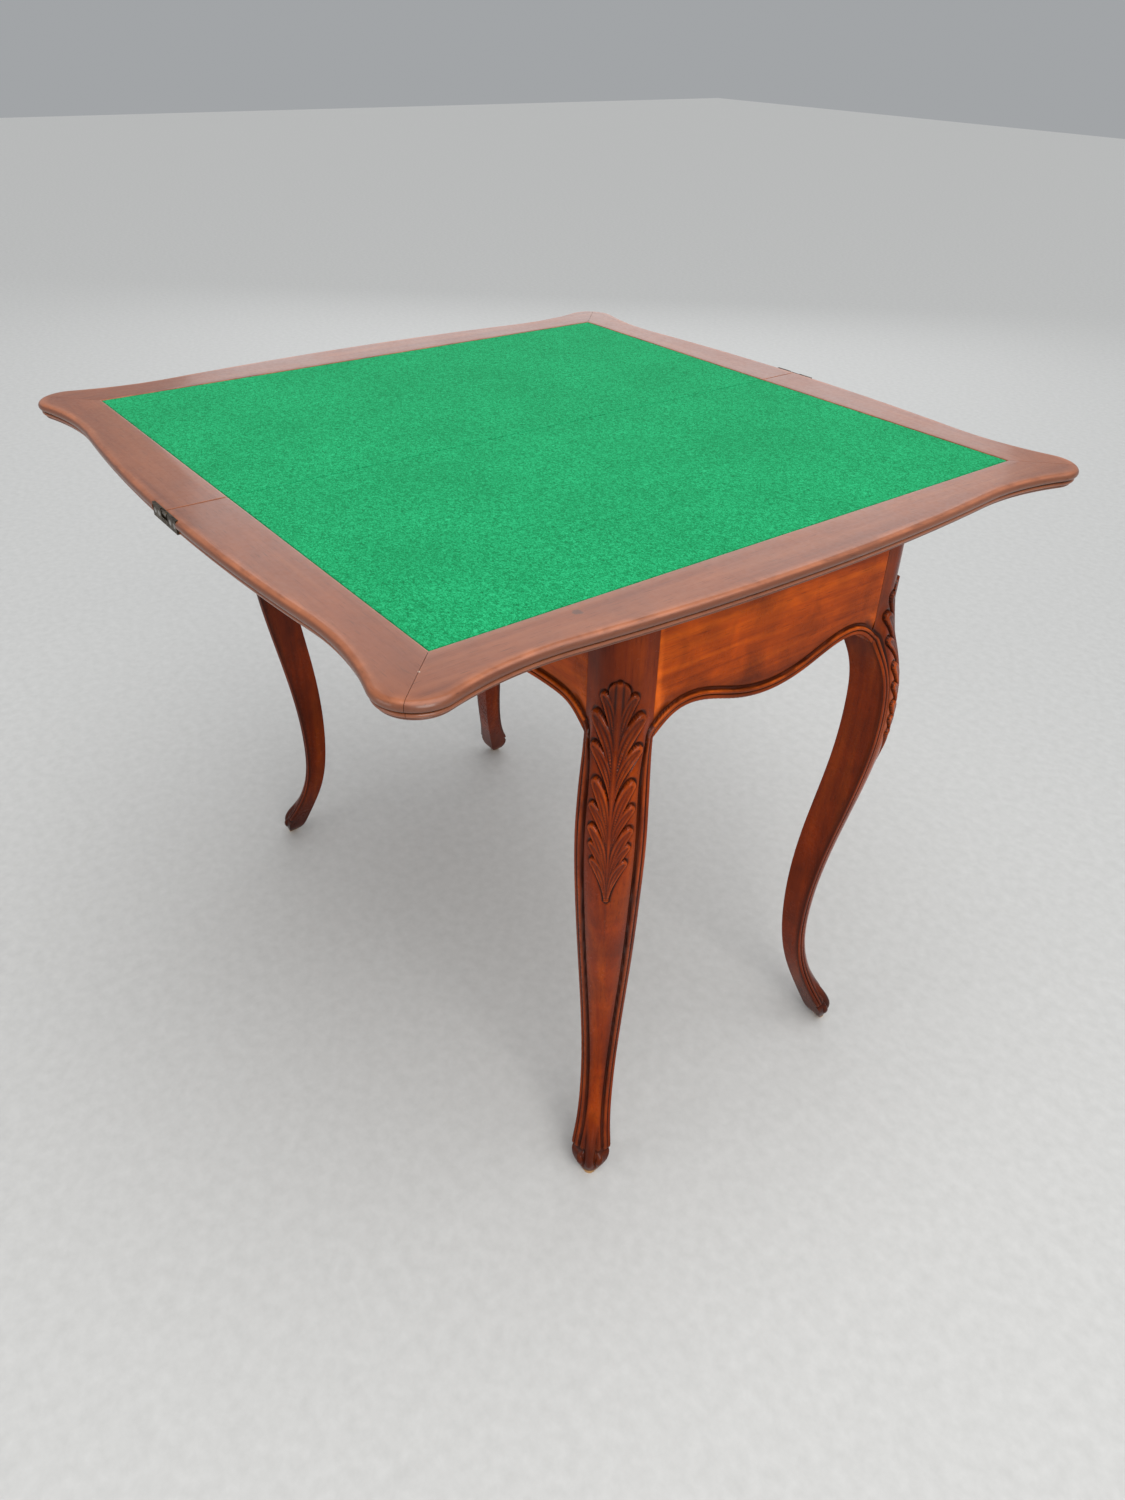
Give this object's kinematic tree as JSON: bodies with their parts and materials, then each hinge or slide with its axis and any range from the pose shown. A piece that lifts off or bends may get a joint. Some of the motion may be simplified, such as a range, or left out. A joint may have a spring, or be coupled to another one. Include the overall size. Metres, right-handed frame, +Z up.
{
  "type": "folding card table",
  "caption": "Cabriole-legged card table with a swivelling fold-over top that opens to a square playing surface lined with green baize.",
  "frame": {"origin": "on the floor, under the middle of the open square top", "axes": "+Z up; X along the base's long axis, the flap unfolded to -X; -Y is the front, and the fold line lies along Y"},
  "size_m": [0.8798, 0.88, 0.76],
  "materials": {
    "top_wood": "satin stained beech",
    "leg_wood": "satin stained beech",
    "apron_wood": "satin stained beech",
    "inner_wood": "plain unfinished wood",
    "green_baize": "woollen baize",
    "glide_felt": "felt",
    "aged_brass": "tarnished",
    "steel_hardware": "bright zinc"
  },
  "bodies": {
    "base": {"leg_front_left": "leg_wood", "leg_front_right": "leg_wood", "leg_back_left": "leg_wood", "leg_back_right": "leg_wood", "long_apron_front": "apron_wood", "long_apron_back": "apron_wood", "end_apron_left": "apron_wood", "end_apron_right": "apron_wood", "corner_block_front_left": "inner_wood", "corner_block_front_right": "inner_wood", "corner_block_back_left": "inner_wood", "corner_block_back_right": "inner_wood", "corner_block_screws": "steel_hardware", "pivot_board": "inner_wood", "pivot_cleat_front": "inner_wood", "pivot_cleat_back": "inner_wood", "pivot_cleat_screws": "steel_hardware", "pivot_bush": "aged_brass", "well_floor": "inner_wood", "well_batten_front": "inner_wood", "well_batten_back": "inner_wood", "glide_strips": "glide_felt"},
    "lower_leaf": {"lower_leaf_panel": "inner_wood", "lower_leaf_lipping": "inner_wood", "lower_leaf_front_rail": "top_wood", "lower_leaf_side_rail_back": "top_wood", "lower_leaf_side_rail_front": "top_wood", "lower_leaf_baize": "green_baize", "pivot_plate": "aged_brass", "pivot_plate_screws": "steel_hardware", "pivot_bolt": "steel_hardware", "pivot_washer": "steel_hardware", "pivot_nut": "steel_hardware", "stop_peg": "steel_hardware", "hinge_plate_lower_back": "aged_brass", "hinge_plate_lower_front": "aged_brass", "hinge_pins_lower": "steel_hardware", "hinge_screws_lower": "steel_hardware"},
    "flap": {"flap_panel": "inner_wood", "flap_lipping": "inner_wood", "flap_front_rail": "top_wood", "flap_side_rail_back": "top_wood", "flap_side_rail_front": "top_wood", "flap_baize": "green_baize", "hinge_plate_flap_back": "aged_brass", "hinge_plate_flap_front": "aged_brass", "hinge_pins_flap": "steel_hardware", "hinge_screws_flap": "steel_hardware"},
    "hinge_links": {"hinge_link_back": "aged_brass", "hinge_link_front": "aged_brass"}
  },
  "joints": [
    {"name": "top_pivot", "type": "hinge", "parent": "base", "child": "lower_leaf", "pos_m": [0.11, 0.11, 0.742], "axis": [0, 0, -1], "range_deg": [0, 90]},
    {"name": "flap_fold", "type": "hinge", "parent": "lower_leaf", "child": "flap", "pos_m": [0, 0, 0.7602], "axis": [0, 1, 0], "range_deg": [0, 180]},
    {"name": "link_turn", "type": "hinge", "parent": "lower_leaf", "child": "hinge_links", "pos_m": [0.003, 0, 0.7572], "axis": [0, 1, 0], "range_deg": [0, 90]}
  ],
  "couplings": [
    {"joint": "link_turn", "follows": "flap_fold", "ratio": 0.5}
  ]
}
